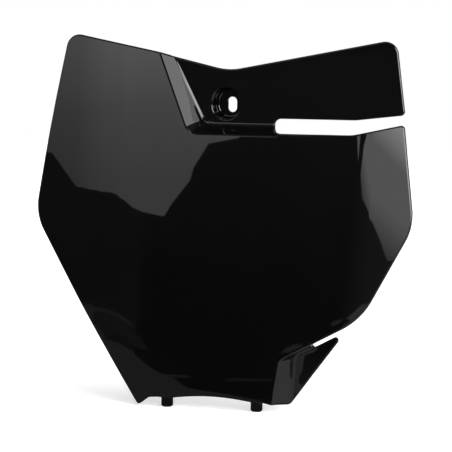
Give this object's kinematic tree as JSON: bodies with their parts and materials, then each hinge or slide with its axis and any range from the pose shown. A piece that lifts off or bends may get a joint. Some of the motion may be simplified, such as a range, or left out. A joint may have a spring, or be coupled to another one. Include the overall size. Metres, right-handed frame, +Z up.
{
  "type": "racing number board",
  "caption": "Black moulded front number board for an off-road racing motorbike: a folded sheet with a set-back fin, a screw cup and bottom lugs that plug into the mudguard.",
  "frame": {"origin": "on the screw slot's axis, on the back of the cup's seat, which lies on the bike's bracket", "axes": "+X to the viewer's right, +Y back to the bike along the screw, +Z up along the lugs"},
  "size_m": [0.259, 0.0525, 0.2478],
  "materials": {
    "board": "glossy black, mould-polished"
  },
  "bodies": {
    "root": {"number_board": "board"}
  },
  "joints": []
}
